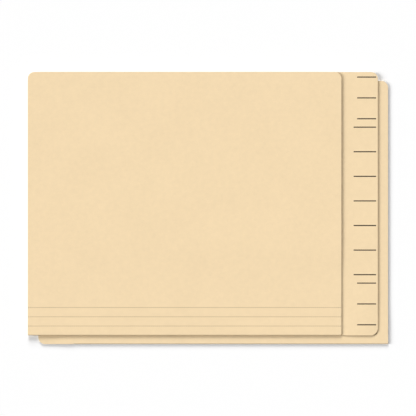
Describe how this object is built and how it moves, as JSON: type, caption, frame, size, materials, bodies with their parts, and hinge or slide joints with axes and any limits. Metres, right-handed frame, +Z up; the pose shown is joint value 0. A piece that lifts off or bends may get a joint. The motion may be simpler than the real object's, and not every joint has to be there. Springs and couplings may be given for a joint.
{
  "type": "file jacket",
  "caption": "Manila end-tab file jacket lying face up on its face-down twin, with a bottom fold, expansion scores, a marked end tab and covers that open.",
  "frame": {"origin": "under the middle of the pair's box, on the surface that the lower jacket's front leaf lies on", "axes": "+X towards the upper jacket's tab, +Y from the folds to the open top edges, +Z up out of the upper jacket's face"},
  "size_m": [0.3302, 0.2494, 0.0032],
  "materials": {
    "manila": "matt uncoated card",
    "ink": "printed ink"
  },
  "bodies": {
    "lower_back": {"lower_back_leaf": "manila", "lower_tab_ply": "manila", "lower_index_marks": "ink", "lower_fold_bead": "manila"},
    "lower_cover": {"lower_base_strip_1": "manila", "lower_base_strip_2": "manila", "lower_base_strip_3": "manila", "lower_front_leaf": "manila"},
    "upper_back": {"upper_back_leaf": "manila", "upper_tab_ply": "manila", "upper_index_marks": "ink", "upper_fold_bead": "manila"},
    "upper_strip_1": {"upper_base_strip_1": "manila"},
    "upper_strip_2": {"upper_base_strip_2": "manila"},
    "upper_strip_3": {"upper_base_strip_3": "manila"},
    "upper_front": {"upper_front_leaf": "manila"}
  },
  "joints": [
    {"name": "lower_cover_open", "type": "hinge", "parent": "lower_back", "child": "lower_cover", "pos_m": [0, -0.12392, 0.00078], "axis": [-1, 0, 0], "range_deg": [0, 180], "deforming": ["lower_fold_bead"]},
    {"name": "upper_lift_off", "type": "slide", "parent": "lower_back", "child": "upper_back", "axis": [0, 0, 1], "range_m": [0, 0.06]},
    {"name": "upper_cover_open", "type": "hinge", "parent": "upper_back", "child": "upper_strip_1", "pos_m": [0, -0.11582, 0.00244], "axis": [1, 0, 0], "range_deg": [0, 180], "deforming": ["upper_fold_bead"]},
    {"name": "upper_base_rise", "type": "hinge", "parent": "upper_strip_1", "child": "upper_strip_2", "pos_m": [0, -0.10813, 0.00324], "axis": [1, 0, 0], "range_deg": [0, 90]},
    {"name": "upper_base_level", "type": "hinge", "parent": "upper_strip_2", "child": "upper_strip_3", "pos_m": [0, -0.09967, 0.00292], "axis": [1, 0, 0], "range_deg": [-90, 0]},
    {"name": "upper_cover_turn", "type": "hinge", "parent": "upper_strip_3", "child": "upper_front", "pos_m": [0, -0.0912, 0.00324], "axis": [1, 0, 0], "range_deg": [0, 180]}
  ],
  "couplings": [
    {"joint": "upper_base_level", "follows": "upper_base_rise", "ratio": -1}
  ]
}
